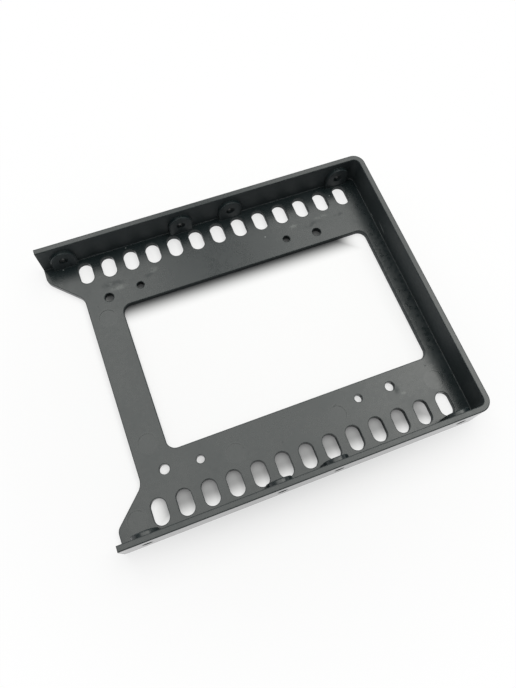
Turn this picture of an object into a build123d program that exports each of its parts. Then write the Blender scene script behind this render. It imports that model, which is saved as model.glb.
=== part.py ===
from build123d import *
import math
import os

# Drive bay adapter bracket: a one-piece moulded tray that carries a small drive
# in a larger drive bay. Millimetres, +Z up. The origin is the centre of the
# tray's underside, X runs from the open end to the closed end, and Y across.

# Screw holes in the side walls, on the standard pattern of the larger drive
side_hole_span = 101.6
side_hole_inner_span = 18.4
side_hole_height = 6.35
side_hole_diameter = 3.0
open_end_margin = 7.6
closed_end_margin = 9.2

# Walls and floor
width = 100.3
wall = 1.9
floor = 1.9
rim_above_boss = 2.15
corner_radius = 4.0
root_radius = 0.2
rim_outer_round = 0.25
rim_inner_bevel = 0.1
wall_end_round = 1.5
window_edge_bevel = 0.1

# Bosses on the inner faces of the side walls
boss_width = 8.4
boss_depth = 1.5
boss_edge_bevel = 0.25

# Open end: two wings that taper back to the cross-member
wing_length = 10.15
wing_tip = 4.95
wing_tip_round = 3.0
wing_root_round = 5.0
cross_member_width = 11.05

# Screw holes in the floor: the small drive's standard pattern and a second, narrower one
drive_hole_length = 76.6
drive_hole_width = 61.72
drive_hole_diameter = 3.2
drive_hole_setback = 8.05
second_hole_inset = 11.3
second_hole_outset = 0.95
second_hole_odd_outset = 0.15
second_hole_diameter = 2.6

# Window in the floor
window_land = 4.76
window_end_strip = 5.2
window_corner_radius = 3.0
window_offset = 0.25

# Rows of vent slots beside the walls
slot_width = 4.8
slot_length = 8.2
slot_pitch = 8.0
slot_wall_gap = 1.75
slot_open_end_margin = 13.2
slot_closed_end_land = 4.8

# Round witness marks that the ejector pins leave on the floor
pin_mark_diameter = 5.8
pin_mark_depth = 0.12
wing_mark_setback = 6.1
wing_mark_wall_gap = 5.75
cross_mark_near_y = -21.3
cross_mark_far_y = 23.7
rail_mark_wall_gap = 14.6
rail_mark_spacing = 34.7
rail_mark_end_gap = 6.8

# Overall sizes and the faces that other features are set from
length = open_end_margin + side_hole_span + closed_end_margin
height = side_hole_height + boss_width / 2 + rim_above_boss
open_end = -length / 2
closed_face = length / 2 - wall
inner_half = width / 2 - wall
cross_edge = open_end + wing_length
window_start = cross_edge + cross_member_width
window_end = closed_face - window_end_strip
window_width = drive_hole_width - 2 * window_land

side_hole_centre = open_end + open_end_margin + side_hole_span / 2
side_hole_xs = [
    side_hole_centre + half
    for span in (side_hole_span, side_hole_inner_span)
    for half in (-span / 2, span / 2)
]


def on_boss_front(face):
    """True for the flat face of a boss, parallel to the wall that carries it."""
    return math.isclose(abs(face.center().Y), inner_half - boss_depth)


# The tray's inside, taken out of the block as one pocket: round at its foot, bevelled at the rim
with BuildPart() as pocket:
    with BuildSketch(Plane.XY.offset(floor)) as inside:
        with Locations((closed_face, 0)):
            Rectangle(length, 2 * inner_half, align=(Align.MAX, Align.CENTER))
        fillet(inside.vertices().group_by(Axis.X)[-1], corner_radius - wall)
    extrude(amount=height)
    fillet(pocket.edges().group_by(Axis.Z)[0], root_radius)
    with BuildSketch(Plane.XY.offset(height - rim_inner_bevel)):
        add(inside.sketch)
    extrude(amount=rim_inner_bevel, taper=-45)

# The gap between the wings at the open end
wing_tip_half = inner_half - wing_tip
wing_root_half = wing_tip_half - wing_length
with BuildPart() as open_notch:
    with BuildSketch() as notch:
        with BuildLine():
            Polyline(
                (open_end - wall, inner_half),
                (open_end, inner_half),
                (open_end, wing_tip_half),
                (cross_edge, wing_root_half),
                (cross_edge, -wing_root_half),
                (open_end, -wing_tip_half),
                (open_end, -inner_half),
                (open_end - wall, -inner_half),
                close=True,
            )
        make_face()
        fillet(notch.vertices().group_by(Axis.X)[1].sort_by(Axis.Y)[1:3], wing_tip_round)
        fillet(notch.vertices().group_by(Axis.X)[-1], wing_root_round)
    extrude(amount=2 * floor, both=True)

with BuildPart() as tray:
    # Block of the tray's outline, its rim rounded before it is hollowed
    with BuildSketch() as outline:
        Rectangle(length, width)
        fillet(outline.vertices().group_by(Axis.X)[-1], corner_radius)
    extrude(amount=height)
    top_edges = tray.faces().sort_by(Axis.Z)[-1].edges()
    fillet(top_edges.sort_by(Axis.X)[1:], rim_outer_round)
    with BuildSketch(Plane.XZ) as side_view:
        Rectangle(length, height, align=(Align.CENTER, Align.MIN))
        fillet(side_view.vertices().group_by(Axis.Z)[-1].sort_by(Axis.X)[0], wall_end_round)
    extrude(amount=width, both=True, mode=Mode.INTERSECT)
    add(pocket.part, mode=Mode.SUBTRACT)
    add(open_notch.part, mode=Mode.SUBTRACT)

    # Bosses that thicken the walls round the side holes, straight down to the floor
    for side in (-1, 1):
        with BuildSketch(Plane.XZ.offset(side * (inner_half + wall / 2))):
            with Locations(*[(x, side_hole_height) for x in side_hole_xs]):
                Circle(boss_width / 2)
                Rectangle(
                    boss_width,
                    side_hole_height - floor / 2,
                    align=(Align.CENTER, Align.MAX),
                )
        extrude(amount=-side * (wall / 2 + boss_depth))
    boss_fronts = tray.faces().filter_by(on_boss_front)
    boss_edges = [edge for face in boss_fronts for edge in face.edges().sort_by(Axis.Z)[1:]]
    chamfer(boss_edges, boss_edge_bevel)

    # Side holes, through both walls and their bosses
    with BuildSketch(Plane.XZ):
        with Locations(*[(x, side_hole_height) for x in side_hole_xs]):
            Circle(side_hole_diameter / 2)
    extrude(amount=width, both=True, mode=Mode.SUBTRACT)

    # Window
    with BuildSketch() as window:
        with Locations((window_start, window_offset)):
            RectangleRounded(
                window_end - window_start,
                window_width,
                window_corner_radius,
                align=(Align.MIN, Align.CENTER),
            )
    extrude(amount=2 * floor, both=True, mode=Mode.SUBTRACT)
    floor_top = tray.faces().filter_by(Axis.Z).group_by(Axis.Z)[1].sort_by(SortBy.AREA)[-1]
    chamfer(floor_top.inner_wires()[0].edges(), window_edge_bevel)

    # Vent slots, as many as the length of the floor has room for
    first_slot = open_end + slot_open_end_margin
    last_slot_limit = closed_face - slot_closed_end_land - slot_width / 2
    slot_count = math.floor((last_slot_limit - first_slot) / slot_pitch) + 1
    slot_row_centre = first_slot + slot_pitch * (slot_count - 1) / 2
    slot_row_y = inner_half - slot_wall_gap - slot_length / 2
    with BuildSketch():
        with Locations((slot_row_centre, 0)):
            with GridLocations(slot_pitch, 2 * slot_row_y, slot_count, 2):
                SlotOverall(slot_length, slot_width, rotation=90)
    extrude(amount=2 * floor, both=True, mode=Mode.SUBTRACT)

    # Screw holes of the floor
    drive_hole_centre = cross_edge + drive_hole_setback + drive_hole_length / 2
    second_hole_half = drive_hole_length / 2 - second_hole_inset
    second_row_y = drive_hole_width / 2 + second_hole_outset
    odd_row_y = drive_hole_width / 2 + second_hole_odd_outset
    with BuildSketch():
        with Locations((drive_hole_centre, 0)):
            with GridLocations(drive_hole_length, drive_hole_width, 2, 2):
                Circle(drive_hole_diameter / 2)
            with Locations(
                (-second_hole_half, second_row_y),
                (second_hole_half, second_row_y),
                (-second_hole_half, -second_row_y),
                (second_hole_half, -odd_row_y),
            ):
                Circle(second_hole_diameter / 2)
    extrude(amount=2 * floor, both=True, mode=Mode.SUBTRACT)

    # Ejector-pin marks
    cross_mark_x = (cross_edge + window_start) / 2
    rail_mark_y = rail_mark_wall_gap - inner_half
    last_rail_mark = closed_face - rail_mark_end_gap
    with BuildSketch(Plane.XY.offset(floor)):
        with Locations(
            (open_end + wing_mark_setback, wing_mark_wall_gap - inner_half),
            (cross_mark_x, cross_mark_near_y),
            (cross_mark_x, cross_mark_far_y),
            *[(last_rail_mark - n * rail_mark_spacing, rail_mark_y) for n in range(3)],
        ):
            Circle(pin_mark_diameter / 2)
    extrude(amount=-pin_mark_depth, mode=Mode.SUBTRACT)

tray.part.label = "adapter_tray"
os.makedirs("parts", exist_ok=True)
export_step(tray.part, "parts/adapter_tray.step")
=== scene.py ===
# %% [markdown]
# # A drive bay adapter tray in moulded black plastic
#
# The tray carries a 2.5 inch drive in a 3.5 inch bay. It is one shot of black ABS: a floor with a
# window and two rows of vent slots, three walls, and round bosses behind the side screws. Its shape
# comes finished from the CAD model, so this lesson gives that shape its surface and photographs it.

# %% Load the tray
import math
import bpy
from mathutils import Matrix, Vector


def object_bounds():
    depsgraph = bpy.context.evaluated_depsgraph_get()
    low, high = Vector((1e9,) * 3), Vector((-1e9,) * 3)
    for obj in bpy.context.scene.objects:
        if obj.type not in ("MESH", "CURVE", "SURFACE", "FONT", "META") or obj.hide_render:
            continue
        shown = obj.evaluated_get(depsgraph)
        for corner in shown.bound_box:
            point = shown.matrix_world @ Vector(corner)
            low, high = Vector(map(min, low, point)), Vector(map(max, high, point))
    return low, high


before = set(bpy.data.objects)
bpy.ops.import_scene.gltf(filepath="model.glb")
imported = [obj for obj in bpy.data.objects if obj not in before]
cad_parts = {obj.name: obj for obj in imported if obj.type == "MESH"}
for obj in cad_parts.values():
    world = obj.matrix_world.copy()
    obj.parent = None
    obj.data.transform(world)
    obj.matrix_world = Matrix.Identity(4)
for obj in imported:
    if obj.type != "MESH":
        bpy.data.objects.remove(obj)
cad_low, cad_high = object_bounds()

MM = 0.001
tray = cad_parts["adapter_tray"]
tray_size = cad_high - cad_low
print("tray, mm:", [round(side / MM, 2) for side in tray_size], "faces:", len(tray.data.polygons))

# %% [markdown]
# ## Helpers for materials
#
# Colours are easiest to read as the hex values that a paint program shows. Blender's shaders work in
# linear light, so one function converts them. A second one adds a node, sets its properties, and
# fills each input with a plain value or a link, which keeps the node trees below short.

# %% Colour and node helpers
def linear(hex_colour):
    """An sRGB hex colour as linear red, green, blue and alpha."""
    channels = [int(hex_colour[i : i + 2], 16) / 255 for i in (1, 3, 5)]
    return [c / 12.92 if c <= 0.04045 else ((c + 0.055) / 1.055) ** 2.4 for c in channels] + [1.0]


def add_node(tree, kind, inputs=None, **settings):
    """Adds a node, sets its properties, and gives each named input a value or a link."""
    node = tree.nodes.new(kind)
    for name, value in settings.items():
        setattr(node, name, value)
    for name, value in (inputs or {}).items():
        if isinstance(value, bpy.types.NodeSocket):
            tree.links.new(value, node.inputs[name])
        else:
            node.inputs[name].default_value = value
    return node


def new_material(name):
    """A material with an empty node tree and its output node."""
    material = bpy.data.materials.new(name)
    material.use_nodes = True
    material.node_tree.nodes.clear()
    return material, add_node(material.node_tree, "ShaderNodeOutputMaterial")


print("mid grey, linear:", [round(c, 4) for c in linear("#808080")[:3]])

# %% [markdown]
# ## Moulded black ABS: where its patterns sit
#
# ABS filled with carbon black is nearly black all through, so most of what the eye sees on it is
# reflected light: a grey sheen where a face mirrors the ceiling, and almost nothing where it mirrors
# another black wall. Nearly all of its patterns are therefore patterns of gloss. They read the point
# on the tray in its own coordinates, and the direction that the face looks, so they stay put when it
# moves.

# %% The plastic's coordinates
plastic, plastic_output = new_material("moulded_black_abs")
abs_tree = plastic.node_tree
surface_point = add_node(abs_tree, "ShaderNodeTexCoord")
place = surface_point.outputs["Object"]
facing = surface_point.outputs["Normal"]


def per_metre(size_mm):
    """The texture scale that makes one feature about this many millimetres across."""
    return 1 / (size_mm * MM)


print("material:", plastic.name, "on", tray.name)

# %% [markdown]
# ## Gloss from the mould
#
# A mould has two halves. The cavity, which forms the outside, was polished, so the outer walls shine.
# The core, which forms the inside, was spark eroded: its level faces are satin, and its upright
# faces, which drag along the steel when the part is pushed off, come out dull. One material can tell
# these faces apart. A face is level where its normal points up or down, and it is an outer wall
# where its normal points away from the middle of the tray.

# %% Satin, dull and polished faces
satin = 0.28       # roughness of the level faces
dull = 0.66        # roughness of the upright inner faces
polished = 0.08    # roughness of the outer walls
wall_reach = 10.0  # mm from the middle at which a face counts wholly as an inner or outer wall

normal_parts = add_node(abs_tree, "ShaderNodeSeparateXYZ", {"Vector": facing})
level = add_node(abs_tree, "ShaderNodeMath", {0: normal_parts.outputs["Z"]}, operation="ABSOLUTE")
outward = add_node(abs_tree, "ShaderNodeVectorMath", {0: facing, 1: place}, operation="DOT_PRODUCT")
wall_gloss = add_node(
    abs_tree,
    "ShaderNodeMapRange",
    {
        "Value": outward.outputs["Value"],
        "From Min": -wall_reach * MM,
        "From Max": wall_reach * MM,
        "To Min": dull,
        "To Max": polished,
    },
)
mould_gloss = add_node(
    abs_tree,
    "ShaderNodeMix",
    {"Factor": level.outputs["Value"], "A": wall_gloss.outputs["Result"], "B": satin},
)
print("roughness, satin, dull and polished:", satin, dull, polished)

# %% [markdown]
# ## Patches of gloss
#
# Plastic that cools unevenly takes on patches of slightly different gloss, some a centimetre wide
# and some a millimetre. Painting them by hand would be slow, and they have no plan, so two noise
# textures drift the roughness up and down.

# %% Drifting gloss
drift_size = 11.0   # mm
mottle_size = 1.6   # mm
drift_detail = 3.0  # layers of finer noise inside each patch
mottle_detail = 2.0
drift_share = 0.20  # change of roughness from one patch to the next
mottle_share = 0.12

drift, mottle = [
    add_node(
        abs_tree, "ShaderNodeTexNoise", {"Vector": place, "Scale": per_metre(size), "Detail": detail}
    )
    for size, detail in ((drift_size, drift_detail), (mottle_size, mottle_detail))
]
gloss = mould_gloss.outputs["Result"]
for texture, share in ((drift, drift_share), (mottle, mottle_share)):
    change = add_node(
        abs_tree,
        "ShaderNodeMath",
        {0: texture.outputs["Fac"], 1: share, 2: -share / 2},
        operation="MULTIPLY_ADD",
    )
    gloss = add_node(
        abs_tree, "ShaderNodeMath", {0: gloss, 1: change.outputs["Value"]}, operation="ADD"
    ).outputs["Value"]
print("patches, mm:", drift_size, mottle_size)

# %% [markdown]
# ## Masks for single marks
#
# The rest of the surface's story is in single marks: the discs where the ejector pins pushed, rubs,
# pits and dust. Each one is an oval mask. A Mapping node centres, turns and stretches the
# coordinates, so that the oval becomes a ball of radius one, and the distance from its middle fades
# the mark out. The ball is flat, so a mark on the floor doesn't reach the underside.

# %% Oval masks
floor_top = 1.9   # mm
mark_depth = 1.0  # mm
soft_core = 0.2   # share of a mark's radius at full strength


def mark(centre, radii, turn=(0, 0, 0), core=soft_core):
    """A mask of 1 in the core of an oval and 0 past its edge. Millimetres and degrees."""
    oval = add_node(
        abs_tree,
        "ShaderNodeMapping",
        {
            "Vector": place,
            "Location": [side * MM for side in centre],
            "Rotation": [math.radians(angle) for angle in turn],
            "Scale": [side * MM for side in radii],
        },
        vector_type="TEXTURE",
    )
    distance = add_node(
        abs_tree, "ShaderNodeVectorMath", {0: oval.outputs["Vector"]}, operation="LENGTH"
    )
    fade = add_node(
        abs_tree,
        "ShaderNodeMapRange",
        {"Value": distance.outputs["Value"], "From Min": 1.0, "From Max": core},
        interpolation_type="SMOOTHSTEP",
    )
    return fade.outputs["Result"]


def floor_mark(x, y, long, wide, turn=0, core=soft_core):
    """A mark on the floor, from its middle, half length, half width and turn."""
    return mark((x, y, floor_top), (long, wide, mark_depth), (0, 0, turn), core)


def any_of(masks):
    """One mask that is as strong as the strongest of these."""
    total = masks[0]
    for mask in masks[1:]:
        stronger = add_node(abs_tree, "ShaderNodeMath", {0: total, 1: mask}, operation="MAXIMUM")
        total = stronger.outputs["Value"]
    return total


print("floor at, mm:", floor_top)

# %% [markdown]
# ## Ejector pins, grain and soft edges
#
# Six steel pins pushed the tray off the core, and each left a disc that is sunk a little into the
# floor. The discs are in the CAD model. Ground pins are smoother than the eroded steel round them,
# so here the discs get a little more gloss. The eroded steel leaves a grain that is too fine to see
# at this distance, so it is drawn about eight times too coarse. The Bevel node rounds the shading of
# every sharp corner, as plastic does in a mould, but not at the pins, whose edge is crisp.

# %% Ejector-pin discs
pin_places = [
    # x, y
    (-53.1, -42.5),
    (-43.5, -21.3),
    (-43.5, 23.7),
    (-18.9, -33.65),
    (15.8, -33.65),
    (50.5, -33.65),
]
pin_reach = 3.6    # mm, a little past the edge of a disc
pin_core = 0.9     # these have a firm edge
pin_polish = 0.05  # taken off the roughness

pin_discs = any_of([floor_mark(x, y, pin_reach, pin_reach, core=pin_core) for x, y in pin_places])
pin_gloss = add_node(
    abs_tree, "ShaderNodeMath", {0: pin_discs, 1: -pin_polish, 2: gloss}, operation="MULTIPLY_ADD"
)
print("ejector-pin discs:", len(pin_places))

# %% Grain of the mould and soft edges
grain_size = 0.4     # mm, coarser than the real 0.05 mm grain so that it shows
grain_detail = 2.0
grain_depth = 0.005  # mm
edge_round = 0.45    # mm
edge_samples = 6

grain = add_node(
    abs_tree,
    "ShaderNodeTexNoise",
    {"Vector": place, "Scale": per_metre(grain_size), "Detail": grain_detail},
)
edge_radius = add_node(
    abs_tree,
    "ShaderNodeMath",
    {0: pin_discs, 1: -edge_round * MM, 2: edge_round * MM},
    operation="MULTIPLY_ADD",
)
soft_edges = add_node(
    abs_tree, "ShaderNodeBevel", {"Radius": edge_radius.outputs["Value"]}, samples=edge_samples
)
relief = add_node(
    abs_tree,
    "ShaderNodeBump",
    {
        "Height": grain.outputs["Fac"],
        "Distance": grain_depth * MM,
        "Normal": soft_edges.outputs["Normal"],
    },
)
print("grain, mm:", grain_size, "edge round, mm:", edge_round)

# %% [markdown]
# ## Worn edges
#
# Edges are handled and rubbed the most, so they lose their gloss first, which draws a thin dark line
# round every opening. The Bevel node already knows where the edges are: there its rounded normal
# parts from the true one. The further they part, the duller the plastic gets.

# %% Dull edges
edge_dullness = 0.60  # added roughness on an edge
edge_start = 0.995    # how alike the two normals are where the wear starts
edge_full = 0.96      # and where it is full

surface = add_node(abs_tree, "ShaderNodeNewGeometry")
alike = add_node(
    abs_tree,
    "ShaderNodeVectorMath",
    {0: soft_edges.outputs["Normal"], 1: surface.outputs["Normal"]},
    operation="DOT_PRODUCT",
)
edge_mask = add_node(
    abs_tree,
    "ShaderNodeMapRange",
    {"Value": alike.outputs["Value"], "From Min": edge_start, "From Max": edge_full},
)
print("added roughness on edges:", edge_dullness)

# %% [markdown]
# ## Marks of use
#
# A drive has been slid in and out. Its long edges left rubs on the floor about 35 mm either side of the
# middle, some of them dull and some scraped pale, and its end dulled the strip at the end wall. The
# pale patch on the near rail is a painted sheen: a smudge that shone there is drawn as paler colour.
# There are also a few pits, short ticks, fine scratches on the end wall and some dust. They are few, so
# each one is listed.

# %% Dull rubs, pits and ticks
dull_rubs = [
    # x, y, half length, half width, turn
    (-38.5, 35.4, 5.5, 1.4, -3),
    (-26.3, 34.7, 2.4, 1.2, 0),
    (35.5, 34.4, 4.8, 1.3, 5),
    (46.0, 35.2, 2.4, 1.1, 0),
    (37.3, -32.8, 1.9, 1.3, 60),
    (54.4, 0.0, 46.0, 4.2, 90),  # the strip at the end wall
]
pits_and_ticks = [
    # x, y, half length, half width, turn
    (-45.5, 28.8, 0.35, 0.35, 0),
    (-4.0, -35.7, 0.35, 0.35, 0),
    (49.8, -28.5, 0.35, 0.35, 0),
    (16.1, -30.6, 1.30, 0.16, 20),
    (-51.6, -40.1, 1.10, 0.16, -25),
]

rub_mask = any_of([floor_mark(*rub) for rub in dull_rubs])
pit_mask = any_of([floor_mark(*pit) for pit in pits_and_ticks])
print("dull marks:", len(dull_rubs) + len(pits_and_ticks))

# %% Pale rubs, a painted sheen, scratches and dust
pale_rubs_and_sheen = [
    # x, y, half length, half width, turn
    (-37.0, 33.3, 4.5, 1.3, 0),
    (-24.0, 36.0, 2.8, 1.4, 0),
    (28.4, 35.7, 2.4, 1.1, 10),
    (39.5, 36.2, 3.6, 1.1, 0),
    # painted sheen: a shiny smudge on the near rail, drawn as paler colour
    (38.9, -34.4, 1.3, 1.0, 0),
]
dust = [
    # x, y
    (17.4, 35.1),
    (-53.0, 46.2),
    (-30.5, 47.4),
    (5.0, 47.2),
    (46.0, 43.5),
]
dust_radius = 0.3  # mm
scratches = [
    # y, z, half length, tilt
    (23.1, 4.6, 3.6, 10),
    (30.6, 2.3, 1.0, 0),
]
scratch_half_width = 0.22  # mm
wall = 1.9                 # mm
end_wall = cad_high.x / MM - wall

pale_rub_and_sheen_mask = any_of([floor_mark(*rub) for rub in pale_rubs_and_sheen])
fleck_mask = any_of(
    [mark((x, y, floor_top), [dust_radius] * 3) for x, y in dust]
    + [
        mark((end_wall, y, z), (mark_depth, long, scratch_half_width), (tilt, 0, 0))
        for y, z, long, tilt in scratches
    ]
)
print("pale marks:", len(pale_rubs_and_sheen) + len(dust) + len(scratches))

# %% [markdown]
# ## The finished plastic
#
# The black leans a little to blue-green, as it does in the photo. Rubs break up where the grain held
# them off, so their masks are multiplied by the mottle before they dull the gloss or scrape the colour
# pale. The same pale colour paints the sheen of the smudge on the near rail. The index of refraction is
# the usual one for ABS.

# %% Wear on the gloss
rub_dullness = 0.20  # added roughness in the middle of a rub
pit_dullness = 0.25
rub_starts = 0.35    # value of the mottle at which a rub takes hold
rub_full = 0.60

broken = add_node(
    abs_tree,
    "ShaderNodeMapRange",
    {"Value": mottle.outputs["Fac"], "From Min": rub_starts, "From Max": rub_full},
)
broken_rubs, broken_pale_and_sheen = [
    add_node(abs_tree, "ShaderNodeMath", {0: mask, 1: broken.outputs["Result"]}, operation="MULTIPLY")
    for mask in (rub_mask, pale_rub_and_sheen_mask)
]
worn_gloss = pin_gloss.outputs["Value"]
for mask, dullness in (
    (edge_mask.outputs["Result"], edge_dullness),
    (broken_rubs.outputs["Value"], rub_dullness),
    (pit_mask, pit_dullness),
):
    worn_gloss = add_node(
        abs_tree, "ShaderNodeMath", {0: mask, 1: dullness, 2: worn_gloss}, operation="MULTIPLY_ADD"
    ).outputs["Value"]
print("added roughness, rubs and pits:", rub_dullness, pit_dullness)

# %% Colour, and the plastic put together
deep_black = "#131c1e"
thin_black = "#1a2426"  # where the flow left less carbon at the surface
# also paints the sheen of the near-rail smudge as paler colour
scraped_and_sheen_grey = "#494e4d"
fleck_grey = "#8a8f8e"
abs_ior = 1.54

colour = add_node(
    abs_tree,
    "ShaderNodeMixRGB",
    {"Fac": drift.outputs["Fac"], "Color1": linear(deep_black), "Color2": linear(thin_black)},
)
for mask, grey in ((broken_pale_and_sheen.outputs["Value"], scraped_and_sheen_grey), (fleck_mask, fleck_grey)):
    colour = add_node(
        abs_tree,
        "ShaderNodeMixRGB",
        {"Fac": mask, "Color1": colour.outputs["Color"], "Color2": linear(grey)},
    )
moulded_skin = add_node(
    abs_tree,
    "ShaderNodeBsdfPrincipled",
    {
        "Base Color": colour.outputs["Color"],
        "Roughness": worn_gloss,
        "IOR": abs_ior,
        "Normal": relief.outputs["Normal"],
    },
)
abs_tree.links.new(moulded_skin.outputs["BSDF"], plastic_output.inputs["Surface"])
for slot in tray.material_slots:
    slot.material = plastic
print("plastic nodes:", len(abs_tree.nodes))

# %% [markdown]
# ## The table
#
# Black parts are photographed on a white sheet that is lit almost to paper white. Matt paper only
# scatters light, so it is a Diffuse shader. A photographer would light the paper more than the part.
# Here a share of plain white is mixed in instead, where the camera or a reflection sees the paper,
# so the tray keeps its own light, and its shadow still shows. The share grows away from the tray,
# until the sheet runs into the white of the background.

# %% Sheet of paper
paper_side = 6.0  # m

bpy.ops.object.select_all(action="DESELECT")
bpy.ops.mesh.primitive_plane_add(size=paper_side, location=(0, 0, cad_low.z))
paper = bpy.context.object
paper.name = "white_paper"
print("paper, m:", paper_side, "at height", round(paper.location.z, 4))

# %% White that the camera sees
near_white = 0.55  # share of plain white beside the tray
near_reach = 0.03  # m from the middle of the tray
far_reach = 0.13   # m, where the paper is plain white


def seen_ray(tree):
    """1 for rays from the camera, a reflection or a clear part, and 0 for rays that carry light."""
    ray = add_node(tree, "ShaderNodeLightPath")
    seen = ray.outputs["Is Camera Ray"]
    for other in ("Is Glossy Ray", "Is Transmission Ray"):
        either = add_node(tree, "ShaderNodeMath", {0: seen, 1: ray.outputs[other]}, operation="MAXIMUM")
        seen = either.outputs["Value"]
    return seen


paper_material, paper_output = new_material("matt_white_paper")
paper_tree = paper_material.node_tree
paper_point = add_node(paper_tree, "ShaderNodeTexCoord").outputs["Object"]
from_tray = add_node(paper_tree, "ShaderNodeVectorMath", {0: paper_point}, operation="LENGTH")
white_share = add_node(
    paper_tree,
    "ShaderNodeMapRange",
    {
        "Value": from_tray.outputs["Value"],
        "From Min": near_reach,
        "From Max": far_reach,
        "To Min": near_white,
        "To Max": 1.0,
    },
    interpolation_type="SMOOTHSTEP",
)
print("share of white beside the tray:", near_white)

# %% [markdown]
# ## Shade under the long sides
#
# In the photo the tray seems to stand a little above its table, and its two long sides shade the
# paper that shows in the near slots and at the far edge of the window. Raising the tray would give
# that shade, but then it would float in every other view. So it rests on the paper, and the shade is
# mixed in as two soft grey strips. A Mapping node turns each strip into a square from -1 to 1, and
# the shade fades out towards the square's sides.

# %% Shaded strips
shade_half_length = 0.050  # m
rail_shades = [
    # middle y and half width in metres, share of light that is kept
    (-0.0388, 0.0092, 0.20),
    (0.0295, 0.0105, 0.0),
]
shade_cores = {"X": 0.82, "Y": 0.3}  # shares of the half length and half width in full shade

open_paper = 1.0
for middle, half_width, kept in rail_shades:
    strip = add_node(
        paper_tree,
        "ShaderNodeMapping",
        {
            "Vector": paper_point,
            "Location": (0, middle, 0),
            "Scale": (shade_half_length, half_width, 1),
        },
        vector_type="TEXTURE",
    )
    strip_parts = add_node(paper_tree, "ShaderNodeSeparateXYZ", {"Vector": strip.outputs["Vector"]})
    unshaded = kept
    for axis, core in shade_cores.items():
        distance = add_node(
            paper_tree, "ShaderNodeMath", {0: strip_parts.outputs[axis]}, operation="ABSOLUTE"
        )
        fade = add_node(
            paper_tree,
            "ShaderNodeMapRange",
            {"Value": distance.outputs["Value"], "From Min": core, "From Max": 1.0, "To Min": kept},
            interpolation_type="SMOOTHSTEP",
        )
        unshaded = add_node(
            paper_tree, "ShaderNodeMath", {0: fade.outputs["Result"], 1: unshaded}, operation="MAXIMUM"
        ).outputs["Value"]
    open_paper = add_node(
        paper_tree, "ShaderNodeMath", {0: unshaded, 1: open_paper}, operation="MULTIPLY"
    ).outputs["Value"]
print("shaded strips:", len(rail_shades))

# %% Paper put together
plain_white = "#ffffff"
paper_white = "#eeeeef"
shade_grey = "#5c5d5e"

seen_share = seen_ray(paper_tree)
for share in (white_share.outputs["Result"], open_paper):
    seen_share = add_node(
        paper_tree, "ShaderNodeMath", {0: seen_share, 1: share}, operation="MULTIPLY"
    ).outputs["Value"]
paper_colour = add_node(
    paper_tree,
    "ShaderNodeMixRGB",
    {"Fac": open_paper, "Color1": linear(shade_grey), "Color2": linear(paper_white)},
)
fibres = add_node(paper_tree, "ShaderNodeBsdfDiffuse", {"Color": paper_colour.outputs["Color"]})
white = add_node(paper_tree, "ShaderNodeEmission", {"Color": linear(plain_white), "Strength": 1.0})
sheet = add_node(
    paper_tree,
    "ShaderNodeMixShader",
    {0: seen_share, 1: fibres.outputs["BSDF"], 2: white.outputs["Emission"]},
)
paper_tree.links.new(sheet.outputs["Shader"], paper_output.inputs["Surface"])
paper.data.materials.append(paper_material)
print("paper nodes:", len(paper_tree.nodes))

# %% [markdown]
# ## Light
#
# A black satin face shows the lamp that it mirrors. Three large softboxes hang above the tray and
# beyond it, where its floor mirrors them into the camera, and give the grey sheen. The two at the
# back leave a gap between them, so the sheen dips in the middle of the far side. A small one lifts
# the near right corner. A pale room fills the rest, so that no side is left black. It is dimmer where
# the photographer stands, and its horizon looks white, because the paper seems to run on for ever.

# %% Softboxes
softboxes = [
    # name, place and sides in metres, power in watts
    ("front_softbox", (0.15, 0.035, 0.60), (0.90, 0.27), 1.85),
    ("left_softbox", (-0.135, 0.395, 0.60), (0.33, 0.45), 1.21),
    ("right_softbox", (0.37, 0.395, 0.60), (0.46, 0.45), 1.63),
    ("small_softbox", (0.38, 0.02, 0.58), (0.34, 0.34), 0.55),
]
lamp_white = "#fffffa"

for name, lamp_place, sides, power in softboxes:
    bpy.ops.object.light_add(type="AREA", location=lamp_place)
    lamp = bpy.context.object
    lamp.name = name
    lamp.data.shape = "RECTANGLE"
    lamp.data.size, lamp.data.size_y = sides
    lamp.data.energy = power
    lamp.data.color = linear(lamp_white)[:3]
    print(name, "radiance:", round(power / (math.pi * sides[0] * sides[1]), 2))

# %% Room
room_behind = 0.60  # strength of the room beyond the tray
room_before = 0.25  # and on the camera's side
room_grey = "#f2f3f4"

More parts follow.
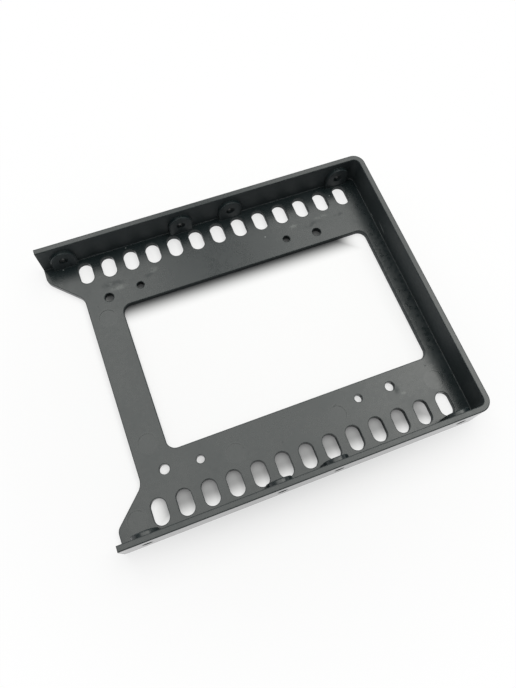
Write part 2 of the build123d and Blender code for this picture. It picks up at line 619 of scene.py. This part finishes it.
room = bpy.data.worlds.new("pale_room")
room.use_nodes = True
room_tree = room.node_tree
room_tree.nodes.clear()
room_output = add_node(room_tree, "ShaderNodeOutputWorld")
direction = add_node(room_tree, "ShaderNodeTexCoord")
heading = add_node(room_tree, "ShaderNodeSeparateXYZ", {"Vector": direction.outputs["Generated"]})
room_strength = add_node(
    room_tree,
    "ShaderNodeMapRange",
    {
        "Value": heading.outputs["Y"],
        "From Min": -1.0,
        "From Max": 1.0,
        "To Min": room_before,
        "To Max": room_behind,
    },
)
room_walls = add_node(
    room_tree,
    "ShaderNodeBackground",
    {"Color": linear(room_grey), "Strength": room_strength.outputs["Result"]},
)
print("room strength, beyond and before the tray:", room_behind, room_before)

# %% White horizon
white_below = 16.0  # degrees above the horizon
room_above = 22.0   # degrees, from which only the room shows

white_horizon = add_node(
    room_tree, "ShaderNodeBackground", {"Color": linear(plain_white), "Strength": 1.0}
)
low = add_node(
    room_tree,
    "ShaderNodeMapRange",
    {
        "Value": heading.outputs["Z"],
        "From Min": math.sin(math.radians(room_above)),
        "From Max": math.sin(math.radians(white_below)),
    },
    interpolation_type="SMOOTHSTEP",
)
seen_horizon = add_node(
    room_tree,
    "ShaderNodeMath",
    {0: seen_ray(room_tree), 1: low.outputs["Result"]},
    operation="MULTIPLY",
)
surroundings = add_node(
    room_tree,
    "ShaderNodeMixShader",
    {
        0: seen_horizon.outputs["Value"],
        1: room_walls.outputs["Background"],
        2: white_horizon.outputs["Background"],
    },
)
room_tree.links.new(surroundings.outputs["Shader"], room_output.inputs["Surface"])
bpy.context.scene.world = room
bpy.context.scene.view_settings.view_transform = "Standard"
print("white up to, degrees:", white_below)

# %% [markdown]
# ## Camera
#
# The photo was taken from above the open end, leaning over the near wall. The lens, place and aim
# were worked out from the tray's edges and holes, so the tray falls on nearly the same pixels here.
# The lens has no shift, so that the tray stays in the middle when the camera moves round it.

# %% Camera
camera_place = Vector((-30.33, -65.76, 185.10)) * MM
camera_aim = Vector((0.76, -1.68, 0.0)) * MM
camera_roll = 5.472      # degrees
focal_length = 30.89     # mm
sensor_long_side = 36.0  # mm, along the height of this upright picture
nearest_seen = 0.01      # m

bpy.ops.object.camera_add(location=camera_place)
camera = bpy.context.object
camera.name = "photo_camera"
aim = (camera_aim - camera_place).to_track_quat("-Z", "Y").to_matrix()
roll = Matrix.Rotation(math.radians(camera_roll), 3, "Z")
camera.rotation_euler = (aim @ roll).to_euler()
camera.data.sensor_width = sensor_long_side
camera.data.lens = focal_length
camera.data.clip_start = nearest_seen
bpy.context.scene.camera = camera
print("camera to aim, mm:", round((camera_aim - camera_place).length / MM, 1))
